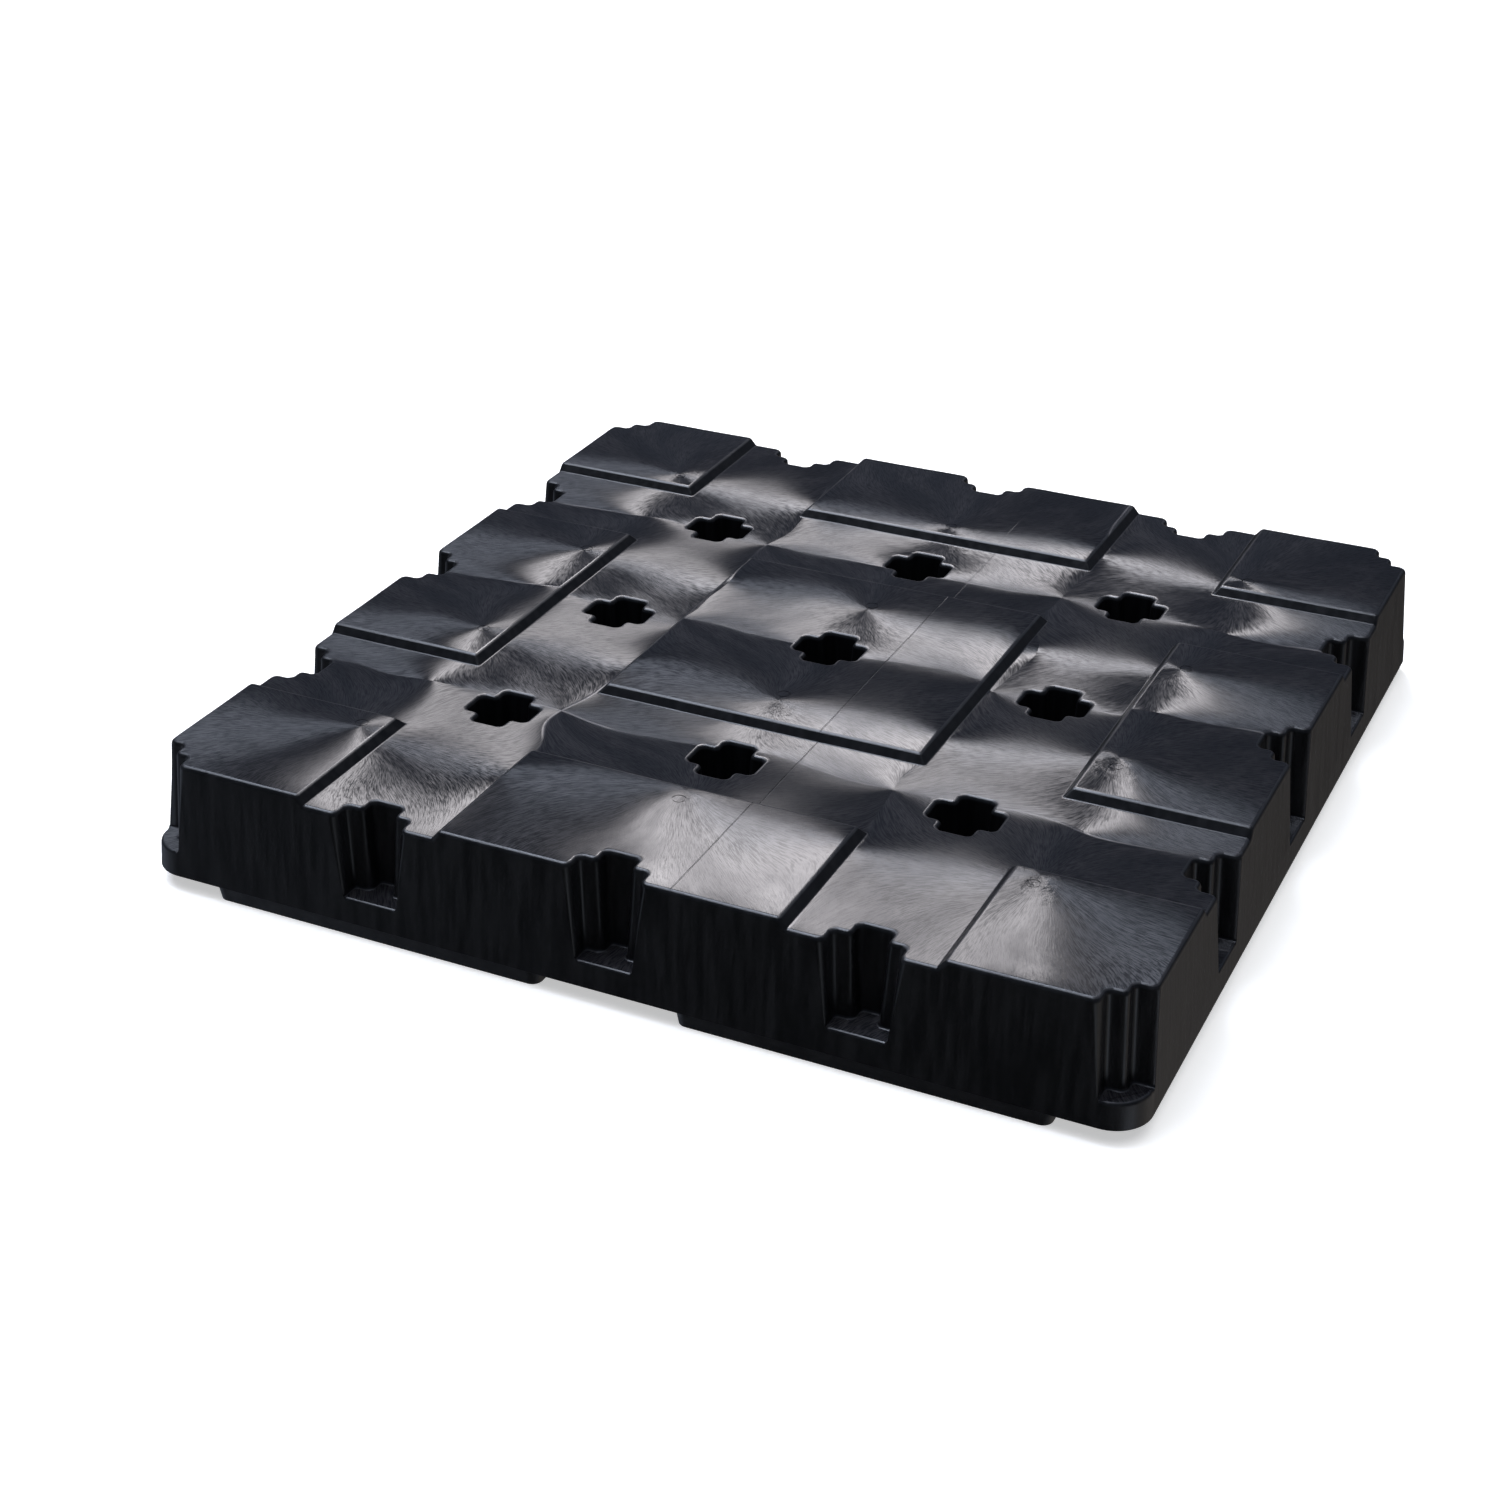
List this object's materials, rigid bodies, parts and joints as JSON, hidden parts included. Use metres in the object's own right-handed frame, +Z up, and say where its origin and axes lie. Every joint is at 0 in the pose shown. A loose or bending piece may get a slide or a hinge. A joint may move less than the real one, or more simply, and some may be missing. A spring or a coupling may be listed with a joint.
{
  "type": "plastic pallet",
  "caption": "Square black moulded pallet: raised pads parted by shallow channels, plus-shaped pockets and edge notches, on two low full-length skids.",
  "frame": {"origin": "centre of the footprint, on the floor plane that the skids rest on", "axes": "+X to the right along the front edge, +Y from front to back along the skids, +Z up"},
  "size_m": [1.1, 1.1, 0.15],
  "materials": {
    "deck_plastic": "as-moulded black structural foam, satin, with flow streaks",
    "skid_plastic": "as-moulded black, satin, scuffed on the sole",
    "tube_steel": "pre-galvanised, dull",
    "plug_plastic": "moulded black, satin",
    "screw_zinc": "zinc plated, passivated"
  },
  "bodies": {
    "root": {"deck": "deck_plastic", "skid_left": "skid_plastic", "skid_right": "skid_plastic", "tube_left_outer": "tube_steel", "tube_left_inner": "tube_steel", "tube_right_inner": "tube_steel", "tube_right_outer": "tube_steel", "tube_plugs_left": "plug_plastic", "tube_plugs_right": "plug_plastic", "skid_screws_left": "screw_zinc", "skid_screws_right": "screw_zinc"}
  },
  "joints": []
}
